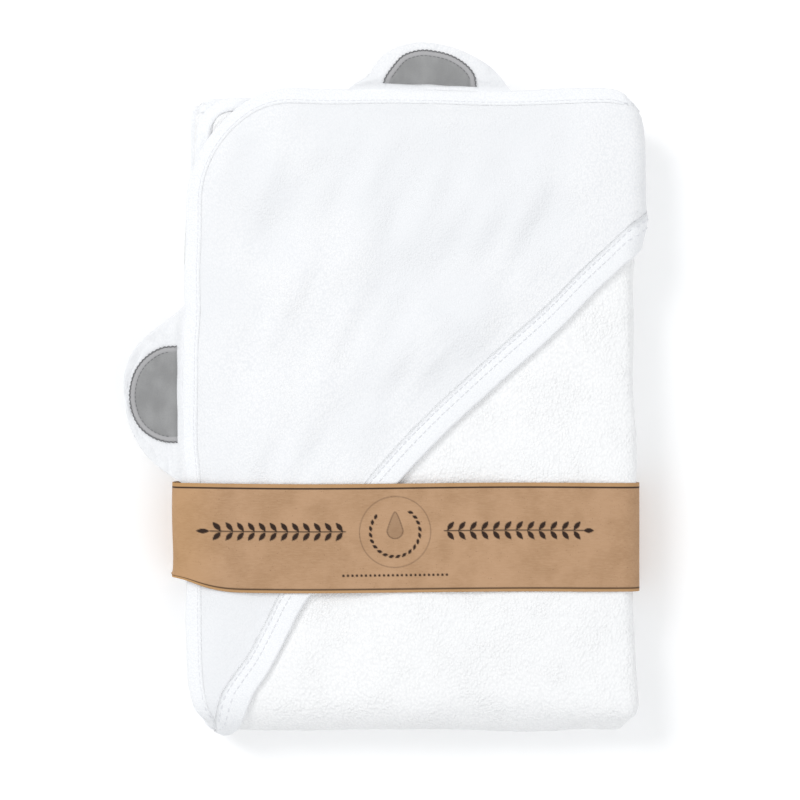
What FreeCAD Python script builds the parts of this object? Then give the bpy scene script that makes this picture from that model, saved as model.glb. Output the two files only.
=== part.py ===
import FreeCAD, Part
import math
import os
import Sketcher

# Hooded baby towel, folded into a flat packet and held by a paper belly band.
# Millimetres, +Z up. The packet lies on the XY plane: Y runs along its long side, the hood's rounded
# corner is at -X +Y, and the origin is the middle of the packet's resting face.

# Driving dimensions: alias, value, what it is.
SIZES = [
    ("half_width", 105.1, "packet centre to the side edge of the top ply"),
    ("half_length", 150.1, "packet centre to the end edge of the top ply"),
    ("lower_height", 31.2, "eleven folded plies under the top ply"),
    ("top_ply", 2.8, "top ply of terry"),
    ("ply_gap", 1.1, "gap under the top ply where the edge tape turns in"),
    ("gap_depth", 8.0, "how far that gap runs in from the edge"),
    ("packet_corner", 14.0, "plan radius of the packet's corners"),
    ("fold_rounding", 7.0, "rounding of the folded plies at the resting face"),
    ("band_relief", 1.0, "step in the resting face for the band's two paper layers"),
    ("relief_start", 30.5, "distance from the centre to that step, towards -Y"),
    ("hood_corner", 50.0, "plan radius of the hood's sewn corner"),
    ("hood_lift", 1.0, "air between the hood panel and the top ply"),
    ("hood_ply", 2.4, "hood panel terry"),
    ("hood_drop", 18.0, "how far the hood wraps down the right-hand fold"),
    ("hood_wrap_start", 4.0, "hem's upper end to the start of that wrap"),
    ("hood_fold_radius", 2.16, "rounding where the hood turns down the fold"),
    ("clearance", 0.08, "air between sewn neighbours"),
    ("tape_thickness", 0.8, "knit binding tape"),
    ("edge_tape_width", 6.6, "visible width of the perimeter tape"),
    ("hem_tape_width", 12.0, "visible width of the hood's hem tape"),
    ("thread", 0.4, "sewing thread diameter"),
    ("edge_row", 4.6, "tape edge to its stitch row"),
    ("hem_row_outer", 6.8, "hem edge to the outer row of the twin stitch"),
    ("hem_row_inner", 9.85, "hem edge to the inner row of the twin stitch"),
    ("hem_tail", 82.0, "hem's place left of centre at the bottom end"),
    ("hem_tail_bend", 130.0, "where the tail turns from straight to slanting"),
    ("hem_tail_radius", 30.0, "that turn"),
    ("tail_gap", 1.0, "edge tape to the end of the hem's tail"),
    ("edge_run_on", 2.0, "edge tape past the hem's tail"),
    ("hem_mid_x", 10.0, "the hem's middle bend, left of centre"),
    ("hem_mid_y", 36.0, "the hem's middle bend, below centre"),
    ("hem_mid_radius", 150.0, "that bend"),
    ("hem_shoulder_x", 100.0, "the hem's bend near the right-hand fold"),
    ("hem_shoulder_y", 70.0, "the hem's bend near the right-hand fold"),
    ("hem_shoulder_radius", 35.0, "that bend"),
    ("hem_top_y", 82.0, "where the hem meets the right-hand fold"),
    ("ear_radius", 41.5, "ear outline"),
    ("ear_shell", 1.8, "terry shell of an ear"),
    ("ear_softness", 1.44, "rounding of a shell's edge"),
    ("shell_gap", 0.04, "air between an ear's two shells"),
    ("ear_hinge", 2.5, "edge tape to the line that an ear bends about"),
    ("ear_centre", 7.5, "ear middle along its edge, from the packet centre"),
    ("ear_left_reach", 27.4, "left ear, bend line to tip"),
    ("ear_top_reach", 20.0, "top ear, bend line to tip"),
    ("patch_radius", 22.4, "grey inner ear"),
    ("patch_rim", 4.0, "white rim outside the grey inner ear"),
    ("patch_ply", 0.4, "grey inner ear cloth"),
    ("patch_start", 0.6, "bend line to the grey inner ear"),
    ("patch_row", 1.4, "inner ear edge to its stitch row"),
    ("row_height", 0.28, "how far that row stands up from the cloth"),
    ("patch_thread_start", 4.6, "bend line to the start of that row"),
    ("band_width", 51.0, "paper band along Y"),
    ("band_top", 34.2, "packet centre to the band's upper edge, towards -Y"),
    ("paper", 0.3, "kraft paper"),
    ("band_floor", 0.1, "air under the band"),
    ("band_side", 0.5, "air at the right-hand fold"),
    ("band_slack", 4.9, "air at the left-hand edge"),
    ("band_headroom", 0.3, "air over the hem's stitches"),
    ("band_bend", 5.0, "inner radius where the band turns a corner"),
    ("overlap", 20.0, "band ends glued over each other underneath"),
    ("glue_space", 0.1, "space between the two ends"),
    ("glue_line", 0.05, "dried glue in that space"),
    ("glue_air", 0.025, "air on each side of the glue line"),
    ("glue_margin", 1.5, "paper left bare around the glue"),
    ("label_width", 30.0, "care label along the edge"),
    ("label_height", 20.0, "care label below its seam"),
    ("label_ply", 0.3, "satin care label"),
    ("label_middle", 84.0, "care label middle, from the packet centre"),
    ("label_seam_z", 30.5, "height of the care label's seam"),
    ("label_air", 0.65, "edge tape face to the label's middle plane"),
]

ALIASES = {alias for alias, value, meaning in SIZES}

doc = FreeCAD.newDocument("hooded_baby_towel")
sheet = doc.addObject("Spreadsheet::Sheet", "Sizes")
for row, (alias, value, meaning) in enumerate(SIZES, start=1):
    sheet.set(f"A{row}", alias)
    sheet.set(f"B{row}", str(value))
    sheet.set(f"C{row}", meaning)
    sheet.setAlias(f"B{row}", alias)
doc.recompute()


def dim(text):
    """The text as a sheet expression: each known alias gets the sheet's name in front."""
    words = []
    for word in text.replace("(", " ( ").replace(")", " ) ").split():
        sign = "-" if word.startswith("-") and len(word) > 1 else ""
        bare = word[len(sign):]
        words.append(sign + ("Sizes." + bare if bare in ALIASES else bare))
    return " ".join(words)


# Heights and places that several pieces share, as expressions of the driving dimensions.
PLY_LOW = "lower_height + ply_gap"
PLY_HIGH = f"{PLY_LOW} + top_ply"
HOOD_LOW = f"{PLY_HIGH} + hood_lift"
HOOD_HIGH = f"{HOOD_LOW} + hood_ply"
HOOD_FOLD = "half_width + clearance"
LEAST_CUT = 1.0
TAIL_END = "half_length - edge_tape_width - tail_gap"
TAPE_HIGH = f"{HOOD_HIGH} + clearance + tape_thickness"
TAPE_FACE = "clearance + tape_thickness"
SEAM_Z = f"( {PLY_LOW} + {HOOD_HIGH} ) / 2"
BAND_INNER_TOP = f"{TAPE_HIGH} + clearance + thread + band_headroom"


def value_of(text):
    return float(sheet.evalExpression(dim(text)))


def bind(item, prop, text):
    item.setExpression(prop, dim(text))


def new_body(label):
    body = doc.addObject("PartDesign::Body", label)
    body.Label = label
    body.AllowCompound = True
    return body


def new_sketch(body, name, role="XY_Plane", offset="0"):
    """A sketch on one of the body's own origin planes, moved along the plane's normal."""
    sketch = body.newObject("Sketcher::SketchObject", f"{body.Name}_{name}")
    plane = [item for item in body.Origin.OriginFeatures if item.Role == role][0]
    sketch.AttachmentSupport = (plane, [""])
    sketch.MapMode = "FlatFace"
    bind(sketch, "AttachmentOffset.Base.z", offset)
    return sketch


def pin_point(sketch, geometry, position, across, up, name):
    """Dimensions from the sketch's origin to a point, bound to the sheet."""
    for kind, text in (("DistanceX", across), ("DistanceY", up)):
        constraint = Sketcher.Constraint(kind, -1, 1, geometry, position, value_of(text))
        index = sketch.addConstraint(constraint)
        sketch.renameConstraint(index, f"{name}_{kind}")
        bind(sketch, f"Constraints.{name}_{kind}", text)


def draw_path(sketch, corners, closed=True):
    """Lines through the corners, each (across, up, radius or None), with arcs where a radius is given."""
    count = len(corners)
    spots = [FreeCAD.Vector(value_of(across), value_of(up), 0) for across, up, radius in corners]
    entry = list(spots)
    leave = list(spots)
    arcs = {}
    for i, (across, up, radius) in enumerate(corners):
        if radius is None:
            continue
        back = (spots[i - 1] - spots[i]).normalize()
        ahead = (spots[(i + 1) % count] - spots[i]).normalize()
        half = back.getAngle(ahead) / 2
        size = value_of(radius)
        entry[i] = spots[i] + back * (size / math.tan(half))
        leave[i] = spots[i] + ahead * (size / math.tan(half))
        middle = spots[i] + (back + ahead).normalize() * (size / math.sin(half) - size)
        arcs[i] = Part.Arc(entry[i], middle, leave[i])
    steps = count if closed else count - 1
    lines = {}
    for i in range(steps):
        lines[i] = sketch.addGeometry(Part.LineSegment(leave[i], entry[(i + 1) % count]), False)
    for i, (across, up, radius) in enumerate(corners):
        before = lines.get((i - 1) % count)
        after = lines.get(i)
        if radius is None:
            held = (before, 2) if before is not None else (after, 1)
            if before is not None and after is not None:
                sketch.addConstraint(Sketcher.Constraint("Coincident", before, 2, after, 1))
            pin_point(sketch, held[0], held[1], across, up, f"corner{i}")
            continue
        point = sketch.addGeometry(Part.Point(spots[i]), True)
        pin_point(sketch, point, 1, across, up, f"corner{i}")
        sketch.addConstraint(Sketcher.Constraint("PointOnObject", point, 1, before))
        sketch.addConstraint(Sketcher.Constraint("PointOnObject", point, 1, after))
        arc = sketch.addGeometry(arcs[i], False)
        first = 1 if sketch.getPoint(arc, 1).distanceToPoint(entry[i]) < 1e-6 else 2
        sketch.addConstraint(Sketcher.Constraint("Tangent", before, 2, arc, first))
        sketch.addConstraint(Sketcher.Constraint("Tangent", arc, 3 - first, after, 1))
        index = sketch.addConstraint(Sketcher.Constraint("Radius", arc, value_of(radius)))
        sketch.renameConstraint(index, f"radius{i}")
        bind(sketch, f"Constraints.radius{i}", radius)


def draw_circle(sketch, across, up, diameter, name="circle"):
    centre = FreeCAD.Vector(value_of(across), value_of(up), 0)
    size = value_of(diameter)
    circle = sketch.addGeometry(Part.Circle(centre, FreeCAD.Vector(0, 0, 1), size / 2), False)
    pin_point(sketch, circle, 3, across, up, name)
    index = sketch.addConstraint(Sketcher.Constraint("Diameter", circle, size))
    sketch.renameConstraint(index, f"{name}_size")
    bind(sketch, f"Constraints.{name}_size", diameter)


def pad(body, sketch, length, downwards=False):
    feature = body.newObject("PartDesign::Pad", f"{sketch.Name}_pad")
    feature.Profile = sketch
    feature.Reversed = downwards
    bind(feature, "Length", length)
    doc.recompute()
    return feature


def round_edges(body, base, radius, wanted):
    """A fillet on the base feature's edges that the test picks."""
    names = [f"Edge{i}" for i, edge in enumerate(base.Shape.Edges, start=1) if wanted(edge)]
    fillet = body.newObject("PartDesign::Fillet", f"{base.Name}_round")
    fillet.Base = (base, names)
    bind(fillet, "Radius", radius)
    doc.recompute()
    return fillet


def flat_at(height):
    """A test for edges that lie level at one height."""
    def wanted(edge):
        box = edge.BoundBox
        return abs(box.ZMin - height) < 1e-4 and abs(box.ZMax - height) < 1e-4
    return wanted


def pipe(body, profile, spine):
    feature = body.newObject("PartDesign::AdditivePipe", f"{profile.Name}_pipe")
    feature.Profile = profile
    feature.Spine = spine
    doc.recompute()
    return feature


def packet_outline(inset="0", sewn_corner="packet_corner"):
    """The packet's plan, with its own radius at the hood's corner."""
    side = f"half_width - {inset}"
    end = f"half_length - {inset}"
    return [
        (f"-( {side} )", f"-( {end} )", "packet_corner"),
        (side, f"-( {end} )", "packet_corner"),
        (side, end, "packet_corner"),
        (f"-( {side} )", end, sewn_corner),
    ]


def make_towel_body():
    """Twelve plies as one cushion: the folded stack, a narrower neck, and the top ply."""
    body = new_body("towel_body")
    stack = new_sketch(body, "stack")
    draw_path(stack, packet_outline())
    base = pad(body, stack, "lower_height")
    soft = round_edges(body, base, "fold_rounding", flat_at(0.0))
    relief = new_sketch(body, "relief")
    far = "half_length + packet_corner"
    wide = "half_width + packet_corner"
    draw_path(relief, [
        (f"-( {wide} )", f"-( {far} )", None),
        (wide, f"-( {far} )", None),
        (wide, "-relief_start", None),
        (f"-( {wide} )", "-relief_start", None),
    ])
    before = soft.Shape.Volume
    cut = body.newObject("PartDesign::Pocket", "towel_body_relief_cut")
    cut.Profile = relief
    cut.Reversed = True
    bind(cut, "Length", "band_relief")
    doc.recompute()
    if cut.Shape.Volume > before - LEAST_CUT:
        raise RuntimeError("the band's relief cuts nothing")
    neck = new_sketch(body, "neck", offset="lower_height")
    draw_path(neck, packet_outline("gap_depth", "hood_corner - gap_depth"))
    pad(body, neck, "ply_gap")
    top = new_sketch(body, "top_ply", offset=PLY_LOW)
    draw_path(top, packet_outline("0", "hood_corner"))
    pad(body, top, "top_ply")
    return body


def hem_corners(tail_end="half_length"):
    """The hood's opening edge, from its tail at the bottom end up to the right-hand fold."""
    return [
        ("-hem_tail", f"-( {tail_end} )", None),
        ("-hem_tail", "-hem_tail_bend", "hem_tail_radius"),
        ("-hem_mid_x", "-hem_mid_y", "hem_mid_radius"),
        ("hem_shoulder_x", "hem_shoulder_y", "hem_shoulder_radius"),
        (HOOD_FOLD, "hem_top_y", None),
    ]


def make_hood_panel():
    """The hood's terry panel, lying over the top ply and wrapping down the right-hand fold."""
    body = new_body("hood_panel")
    sheet_of_cloth = new_sketch(body, "sheet", offset=HOOD_LOW)
    draw_path(sheet_of_cloth, hem_corners() + [
        (HOOD_FOLD, "half_length", "packet_corner"),
        ("-half_width", "half_length", "hood_corner"),
        ("-half_width", "-half_length", "packet_corner"),
    ])
    pad(body, sheet_of_cloth, "hood_ply")
    wrap = new_sketch(body, "wrap", role="YZ_Plane", offset=HOOD_FOLD)
    low = f"{HOOD_HIGH} - hood_drop"
    near_end = "hem_top_y + hood_wrap_start"
    far_end = "half_length - packet_corner"
    draw_path(wrap, [
        (near_end, low, None),
        (far_end, low, None),
        (far_end, HOOD_HIGH, None),
        (near_end, HOOD_HIGH, None),
    ])
    fold = pad(body, wrap, "hood_ply")
    fold_x = value_of(f"{HOOD_FOLD} + hood_ply")
    top_z = value_of(HOOD_HIGH)

    def outer_fold(edge):
        box = edge.BoundBox
        return abs(box.XMin - fold_x) < 1e-4 and abs(box.ZMin - top_z) < 1e-4 and box.YLength > 10
    round_edges(body, fold, "hood_fold_radius", outer_fold)
    return body


def channel(across, inward, width, low):
    """A U-section of tape round an edge at the given place; inward is the side the cloth is on."""
    outer = f"{across} - ( {inward} ) * ( {TAPE_FACE} )"
    wall = f"{across} - ( {inward} ) * clearance"
    tip = f"{across} + ( {inward} ) * {width}"
    bottom = f"{low} - ( {TAPE_FACE} )"
    return [
        (outer, bottom, None),
        (tip, bottom, None),
        (tip, f"{low} - clearance", None),
        (wall, f"{low} - clearance", None),
        (wall, f"{HOOD_HIGH} + clearance", None),
        (tip, f"{HOOD_HIGH} + clearance", None),
        (tip, TAPE_HIGH, None),
        (outer, TAPE_HIGH, None),
    ]


def edge_spine(body):
    """The sewn edge: along the top end, round the hood's corner, down the left side and round the end."""
    spine = new_sketch(body, "edge", offset=PLY_LOW)
    draw_path(spine, [
        ("half_width - packet_corner", "half_length", None),
        ("-half_width", "half_length", "hood_corner"),
        ("-half_width", "-half_length", "packet_corner"),
        ("-hem_tail - edge_run_on", "-half_length", None),
    ], closed=False)
    return spine


def hem_spine(body):
    """The hem's line, stopping short of the edge tape at the packet's bottom end."""
    spine = new_sketch(body, "hem", offset=HOOD_LOW)
    draw_path(spine, hem_corners(TAIL_END), closed=False)
    return spine


def make_tapes():
    """Binding tape folded over the towel's sewn edge, and wider tape over the hood's opening edge."""
    edge = new_body("edge_tape")
    spine = edge_spine(edge)
    section = new_sketch(edge, "section", role="YZ_Plane", offset="half_width - packet_corner")
    draw_path(section, channel("half_length", "-1", "edge_tape_width", PLY_LOW))
    pipe(edge, section, spine)
    hem = new_body("hood_hem_tape")
    spine = hem_spine(hem)
    section = new_sketch(hem, "section", role="XZ_Plane", offset=TAIL_END)
    draw_path(section, channel("-hem_tail", "-1", "hem_tape_width", HOOD_LOW))
    pipe(hem, section, spine)
    return [edge, hem]


def make_tape_threads():
    """One stitch row on the edge tape and the twin row on the hem, each a cord lying on its tape."""
    level = f"{TAPE_HIGH} + clearance + thread / 2"
    edge = new_body("edge_tape_thread")
    spine = edge_spine(edge)
    section = new_sketch(edge, "section", role="YZ_Plane", offset="half_width - packet_corner")
    draw_circle(section, "half_length - edge_row", level, "thread")
    pipe(edge, section, spine)
    hem = new_body("hood_hem_thread")
    spine = hem_spine(hem)
    for name, inset in (("outer", "hem_row_outer"), ("inner", "hem_row_inner")):
        section = new_sketch(hem, name, role="XZ_Plane", offset=TAIL_END)
        draw_circle(section, f"-hem_tail - {inset}", level, "thread")
        pipe(hem, section, spine)
    return [edge, hem]


def draw_segment(sketch, centre_up, radius, chord_up):
    """A piece of a disc above a level chord, its centre on the sketch's upright axis."""
    size = value_of(radius)
    middle = FreeCAD.Vector(0, value_of(centre_up), 0)
    rise = value_of(chord_up) - middle.y
    start = math.asin(rise / size)
    disc = Part.Circle(middle, FreeCAD.Vector(0, 0, 1), size)
    arc = sketch.addGeometry(Part.ArcOfCircle(disc, start, math.pi - start), False)
    half = size * math.cos(start)
    chord_y = value_of(chord_up)
    ends = (FreeCAD.Vector(-half, chord_y, 0), FreeCAD.Vector(half, chord_y, 0))
    chord = sketch.addGeometry(Part.LineSegment(ends[0], ends[1]), False)
    sketch.addConstraint(Sketcher.Constraint("Coincident", arc, 2, chord, 1))
    sketch.addConstraint(Sketcher.Constraint("Coincident", chord, 2, arc, 1))
    sketch.addConstraint(Sketcher.Constraint("Horizontal", chord))
    pin_point(sketch, arc, 3, "0", centre_up, "centre")
    for kind, name, text, constraint in (
        ("Radius", "radius", radius, Sketcher.Constraint("Radius", arc, size)),
        ("DistanceY", "chord", chord_up, Sketcher.Constraint("DistanceY", -1, 1, chord, 1, chord_y)),
    ):
        index = sketch.addConstraint(constraint)
        sketch.renameConstraint(index, name)
        bind(sketch, f"Constraints.{name}", text)


def make_ear(side, reach):
    """Two terry shells, the grey inner ear and its stitch row, drawn with the bend line along local X
    and the ear pointing along local +Y."""
    pieces = []
    seam_gap = "shell_gap / 2"
    for name, downwards in (("front", False), ("back", True)):
        shell = new_body(f"ear_{side}_{name}")
        sketch = new_sketch(shell, "outline", offset=f"-( {seam_gap} )" if downwards else seam_gap)
        draw_segment(sketch, f"{reach} - ear_radius", "ear_radius", "-ear_shell")
        solid = pad(shell, sketch, "ear_shell", downwards)
        face = value_of(f"{seam_gap} + ear_shell") * (-1 if downwards else 1)
        round_edges(shell, solid, "ear_softness", flat_at(face))
        pieces.append(shell)
    centre = f"{reach} - patch_rim - patch_radius"
    patch = new_body(f"ear_{side}_inner")
    sketch = new_sketch(patch, "outline", offset="ear_shell + clearance")
    draw_segment(sketch, centre, "patch_radius", "patch_start")
    pad(patch, sketch, "patch_ply")
    pieces.append(patch)
    row = new_body(f"ear_{side}_inner_thread")
    ring = new_sketch(row, "ring", offset="ear_shell + clearance * 2 + patch_ply")
    for name, inset in (("outer", "patch_row - thread / 2"), ("inner", "patch_row + thread / 2")):
        draw_ring_segment(ring, centre, f"patch_radius - ( {inset} )", "patch_thread_start", name)
    close_ring(ring)
    pad(row, ring, "row_height")
    pieces.append(row)
    return pieces


def draw_ring_segment(sketch, centre_up, radius, chord_up, name):
    """One arc of a stitch row, from the given level round to the same level."""
    size = value_of(radius)
    middle = FreeCAD.Vector(0, value_of(centre_up), 0)
    start = math.asin((value_of(chord_up) - middle.y) / size)
    disc = Part.Circle(middle, FreeCAD.Vector(0, 0, 1), size)
    arc = sketch.addGeometry(Part.ArcOfCircle(disc, start, math.pi - start), False)
    pin_point(sketch, arc, 3, "0", centre_up, name)
    index = sketch.addConstraint(Sketcher.Constraint("Radius", arc, size))
    sketch.renameConstraint(index, f"{name}_radius")
    bind(sketch, f"Constraints.{name}_radius", radius)
    for end, tag in ((1, "right"), (2, "left")):
        height = Sketcher.Constraint("DistanceY", -1, 1, arc, end, value_of(chord_up))
        index = sketch.addConstraint(height)
        sketch.renameConstraint(index, f"{name}_{tag}")
        bind(sketch, f"Constraints.{name}_{tag}", chord_up)


def close_ring(sketch):
    """Level lines that join the two arcs of a stitch row at both ends."""
    for end in (1, 2):
        line = sketch.addGeometry(Part.LineSegment(sketch.getPoint(0, end), sketch.getPoint(1, end)), False)
        sketch.addConstraint(Sketcher.Constraint("Coincident", 0, end, line, 1))
        sketch.addConstraint(Sketcher.Constraint("Coincident", 1, end, line, 2))


def place(body, across, along, height, quarter_turn=False):
    if quarter_turn:
        body.Placement = FreeCAD.Placement(FreeCAD.Vector(), FreeCAD.Rotation(FreeCAD.Vector(0, 0, 1), 90))
    for axis, text in (("x", across), ("y", along), ("z", height)):
        bind(body, f"Placement.Base.{axis}", text)


def make_ears():
    top = make_ear("top", "ear_top_reach")
    left = make_ear("left", "ear_left_reach")
    for body in top:
        place(body, "ear_centre", f"half_length + {TAPE_FACE} + ear_hinge", SEAM_Z)
    for body in left:
        place(body, f"-( half_width + {TAPE_FACE} + ear_hinge )", "ear_centre", SEAM_Z, True)
    return top + left


def make_band():
    """A strip of kraft paper once round the packet, its ends glued over each other underneath."""
    band = new_body("belly_band")
    section = new_sketch(band, "section", role="XZ_Plane", offset="band_top")
    right = "half_width + band_side"
    left = "-( half_width + band_slack )"
    low = "band_floor"
    step = "band_floor + paper + glue_space"
    bend = "band_bend"
    outer_bend = "band_bend + paper"
    half_lap = "overlap / 2"
    draw_path(section, [
        (f"-( {half_lap} )", low, None),
        (f"{right} + paper", low, outer_bend),
        (f"{right} + paper", f"{BAND_INNER_TOP} + paper", outer_bend),
        (f"{left} - paper", f"{BAND_INNER_TOP} + paper", outer_bend),
        (f"{left} - paper", step, outer_bend),
        (half_lap, step, None),
        (half_lap, f"{step} + paper", None),
        (left, f"{step} + paper", bend),
        (left, BAND_INNER_TOP, bend),
        (right, BAND_INNER_TOP, bend),
        (right, f"{low} + paper", bend),
        (f"-( {half_lap} )", f"{low} + paper", None),
    ])
    pad(band, section, "band_width")
    glue = new_body("belly_band_glue")
    patch = new_sketch(glue, "patch", offset="band_floor + paper + glue_air")
    side = "overlap / 2 - glue_margin"
    draw_path(patch, [
        (f"-( {side} )", "-( band_top + band_width - glue_margin )", None),
        (side, "-( band_top + band_width - glue_margin )", None),
        (side, "-( band_top + glue_margin )", None),
        (f"-( {side} )", "-( band_top + glue_margin )", None),
    ])
    pad(glue, patch, "glue_line")
    return [band, glue]


def make_care_label():
    """A blank satin label hanging from the left-hand edge, and the row that sews it on."""
    plane = f"-( half_width + {TAPE_FACE} + label_air )"
    low_y = "label_middle - label_width / 2"
    high_y = "label_middle + label_width / 2"
    label = new_body("care_label")
    outline = new_sketch(label, "outline", role="YZ_Plane", offset=f"{plane} - label_ply / 2")
    low = "label_seam_z - label_height"
    high = "label_seam_z + label_ply / 2"
    draw_path(outline, [
        (low_y, low, None),
        (high_y, low, None),
        (high_y, high, None),
        (low_y, high, None),
    ])
    pad(label, outline, "label_ply")
    row = new_body("care_label_thread")
    section = new_sketch(row, "section", role="XZ_Plane", offset=f"-( {low_y} )")
    draw_circle(section, plane, "label_seam_z + label_ply / 2 + clearance + thread / 2", "thread")
    pad(row, section, "label_width", downwards=True)
    return [label, row]


def check_document():
    """Every object recomputed cleanly and every piece is a sound solid."""
    doc.recompute()
    for item in doc.Objects:
        if "Invalid" in item.State or "Error" in item.State:
            raise RuntimeError(f"{item.Name} failed: {item.State}")
    for body in bodies:
        if body.Shape.isNull() or not body.Shape.isValid() or not body.Shape.Solids:
            raise RuntimeError(f"{body.Label} has no sound solid")


bodies = [make_towel_body(), make_hood_panel()]
bodies += make_tapes() + make_tape_threads()
bodies += make_ears() + make_band() + make_care_label()
check_document()

os.makedirs("parts", exist_ok=True)
for body in bodies:
    body.Shape.exportStep(f"parts/{body.Label}.step")
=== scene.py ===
"""Looks of the folded hooded baby towel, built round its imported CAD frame.

Lengths are millimetres, and make_mesh() turns them into metres; only the lights and the camera are
placed in metres. The towel is one rectangle of terry: fold(u, v, n) maps a place on the flat cloth
(u across, v along, n above its middle surface) to its place in the folded packet, so that the cloth,
the hood, the tapes and every stitch share one shape.
"""
import bmesh
import bpy
import math
import numpy as np
from collections import namedtuple
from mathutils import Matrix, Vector
from mathutils.kdtree import KDTree


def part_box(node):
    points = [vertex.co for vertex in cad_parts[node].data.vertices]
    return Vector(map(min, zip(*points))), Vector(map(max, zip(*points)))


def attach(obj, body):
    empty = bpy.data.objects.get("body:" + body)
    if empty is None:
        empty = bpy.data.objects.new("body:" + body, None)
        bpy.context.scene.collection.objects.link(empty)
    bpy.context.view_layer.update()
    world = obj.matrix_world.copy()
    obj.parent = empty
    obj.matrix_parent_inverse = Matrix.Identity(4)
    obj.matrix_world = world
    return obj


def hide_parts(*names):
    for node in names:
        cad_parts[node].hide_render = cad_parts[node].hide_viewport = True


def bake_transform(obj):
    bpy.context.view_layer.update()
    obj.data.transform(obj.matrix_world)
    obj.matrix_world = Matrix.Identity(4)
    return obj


MM = 0.001
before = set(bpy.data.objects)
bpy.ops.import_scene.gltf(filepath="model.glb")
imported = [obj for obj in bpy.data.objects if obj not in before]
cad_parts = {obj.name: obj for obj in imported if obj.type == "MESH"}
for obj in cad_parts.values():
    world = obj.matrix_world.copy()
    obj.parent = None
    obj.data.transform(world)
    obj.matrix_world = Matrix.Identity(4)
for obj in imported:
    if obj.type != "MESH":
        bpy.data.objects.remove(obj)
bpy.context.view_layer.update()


def cad_box(node):
    low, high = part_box(node)
    return np.array(low) / MM, np.array(high) / MM


_, body_high = cad_box("towel_body")
band_low, band_high = cad_box("belly_band")
HALF_WIDTH = body_high[0]
HALF_LENGTH = body_high[1]
STACK = body_high[2]
BAND_MIDDLE = (band_low[1] + band_high[1]) / 2
BAND_HALF = (band_high[1] - band_low[1]) / 2


# ---- smooth random shapes

WAVE_SPREAD = 0.35


def waves(points, length, seed, count=14):
    """Smooth noise of about -1 to 1: sine waves of roughly one length in random directions."""
    random = np.random.default_rng(seed)
    total = np.zeros(points.shape[:-1])
    for _ in range(count):
        direction = random.normal(size=points.shape[-1])
        direction /= np.linalg.norm(direction)
        size = length * (1 + WAVE_SPREAD * random.uniform(-1, 1))
        total += np.sin(points @ direction * (2 * math.pi / size) + random.uniform(0, 2 * math.pi))
    return total / math.sqrt(count)


def smooth(value, low, high):
    """0 below low, 1 above high, eased between."""
    share = np.clip((value - low) / (high - low), 0, 1)
    return share * share * (3 - 2 * share)


def bump(value, middle, width):
    return np.exp(-((value - middle) / width) ** 2)


def join(*parts):
    """Coordinate grids as one array of points."""
    return np.stack(parts, axis=-1)


def unit(vectors):
    return vectors / np.linalg.norm(vectors, axis=-1, keepdims=True)


def turned(vectors):
    """Flat vectors turned a quarter to the left."""
    return join(-vectors[..., 1], vectors[..., 0])


# ---- the fold

class FoldPath:
    """A line of runs and half-turn bends in a plane. Each step is (length, 0) or (radius, turn)."""

    def __init__(self, start, steps):
        self.pieces = []
        spot = np.array(start, float)
        heading = 1.0
        along = 0.0
        for size, turn in steps:
            length = math.pi * size if turn else size
            self.pieces.append((along, length, spot.copy(), heading, size, turn))
            if turn:
                spot = spot + np.array([0.0, 2 * size * turn * heading])
                heading = -heading
            else:
                spot = spot + np.array([size * heading, 0.0])
            along += length
        self.length = along

    def at(self, along, offset):
        """The place that far along the line, and offset to its left."""
        along, offset = np.broadcast_arrays(np.asarray(along, float), np.asarray(offset, float))
        across = np.zeros(along.shape)
        up = np.zeros(along.shape)
        for index, (begin, length, spot, heading, size, turn) in enumerate(self.pieces):
            low = -np.inf if index == 0 else begin
            high = np.inf if index == len(self.pieces) - 1 else begin + length
            here = (along >= low) & (along < high)
            travel = along[here] - begin
            if turn:
                angle = travel / size
                reach = np.maximum(size - turn * offset[here], 0.1)
                across[here] = spot[0] + heading * reach * np.sin(angle)
                up[here] = spot[1] + heading * turn * (size - reach * np.cos(angle))
            else:
                across[here] = spot[0] + heading * travel
                up[here] = spot[1] + heading * offset[here]
        return across, up


# The cloth is folded four across into a book, and the book three along. A turn's radius is half the
# height it climbs.
PLIES = 12
PLY = STACK / PLIES
BOOK = 4 * PLY
CLOTH = 2.5
LEFT_SET_IN = 1.2
SECOND_EDGE_SET_IN = 2.2
BACK_SET_IN = 3.0
LAST_EDGE_SET_IN = 4.0
RIGHT_BEND = HALF_WIDTH - 1.5 * PLY - CLOTH / 2
LEFT_BEND = -HALF_WIDTH + 0.5 * PLY + CLOTH / 2 + LEFT_SET_IN
SECOND_EDGE = -HALF_WIDTH + SECOND_EDGE_SET_IN
ACROSS = FoldPath((-HALF_WIDTH, 1.5 * PLY), [
    (RIGHT_BEND + HALF_WIDTH, 0),
    (1.5 * PLY, -1),
    (RIGHT_BEND - LEFT_BEND, 0),
    (0.5 * PLY, -1),
    (RIGHT_BEND - LEFT_BEND, 0),
    (0.5 * PLY, 1),
    (RIGHT_BEND - SECOND_EDGE, 0),
])
FRONT_BEND = HALF_LENGTH - 1.5 * BOOK
BACK_BEND = HALF_LENGTH - BOOK - BACK_SET_IN
ALONG = FoldPath((-HALF_LENGTH, 2.5 * BOOK), [
    (HALF_LENGTH + FRONT_BEND, 0),
    (BOOK, -1),
    (FRONT_BEND + BACK_BEND, 0),
    (BOOK / 2, -1),
    (FRONT_BEND + BACK_BEND - LAST_EDGE_SET_IN, 0),
])
WIDE = ACROSS.length
LONG = ALONG.length
FRONT_RUN = HALF_LENGTH + FRONT_BEND

# How far each ply of the top book is set back from the far end, from its lowest ply to its top one.
PLY_HEIGHTS = (-1.5 * PLY, -0.5 * PLY, 0.5 * PLY, 1.5 * PLY)
PLY_SETBACKS = (3.0, 5.0, 4.2, 0.0)
SETBACK_FADE = 45.0


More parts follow.
